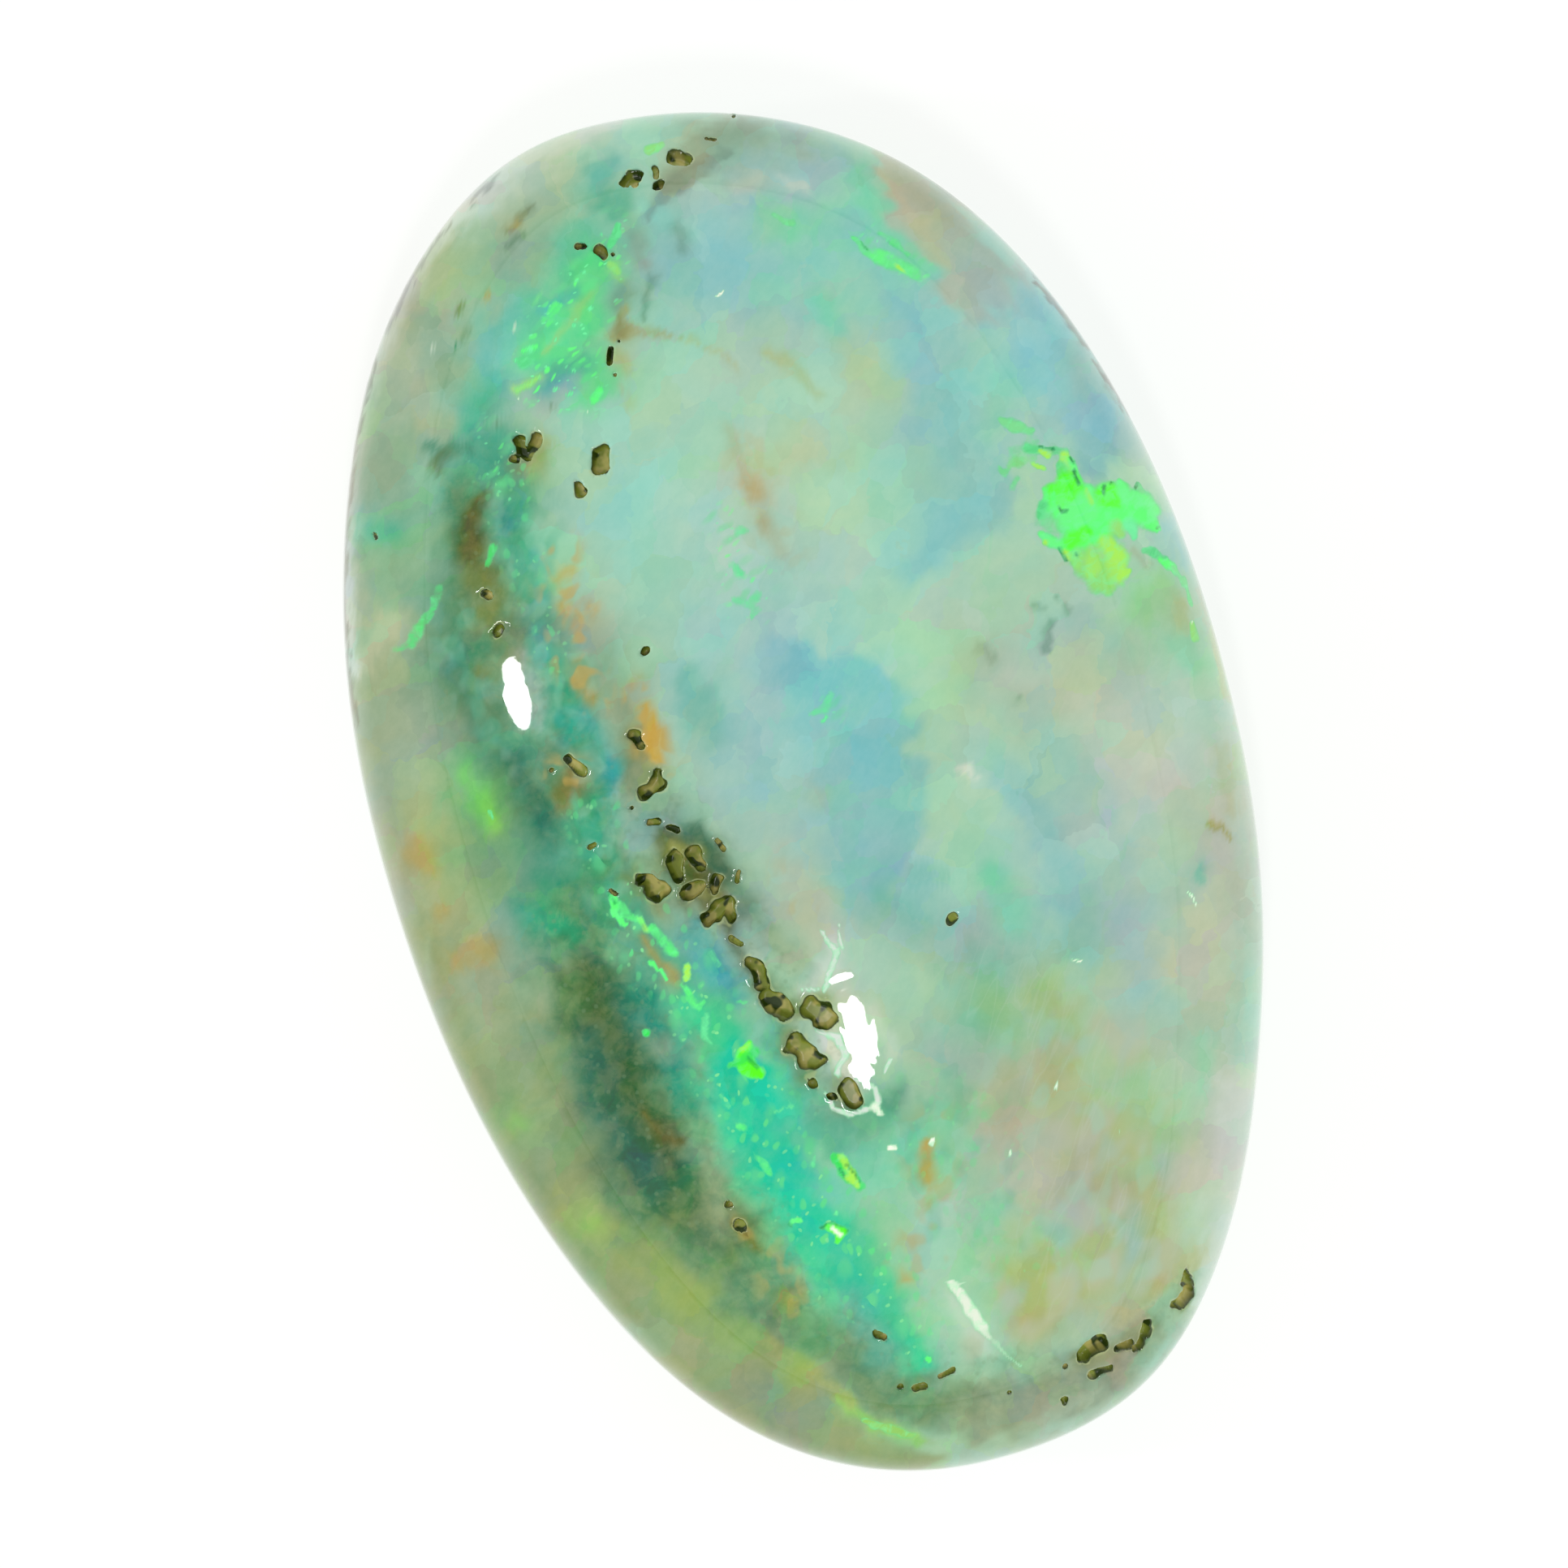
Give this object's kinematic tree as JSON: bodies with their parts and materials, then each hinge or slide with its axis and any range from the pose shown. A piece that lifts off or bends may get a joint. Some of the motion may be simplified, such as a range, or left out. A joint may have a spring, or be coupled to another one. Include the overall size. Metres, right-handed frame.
{
  "type": "opal cabochon",
  "caption": "Oval polished opal with a high dome, an undercut side, a flat base and small open pits along a sandy seam.",
  "frame": {"origin": "middle of the flat base", "axes": "+Z out of the top of the dome, +Y along the stone's long axis, +X across it"},
  "size_m": [0.0124, 0.02, 0.0062],
  "materials": {
    "opal": "polished"
  },
  "bodies": {
    "root": {"opal": "opal"}
  },
  "joints": []
}
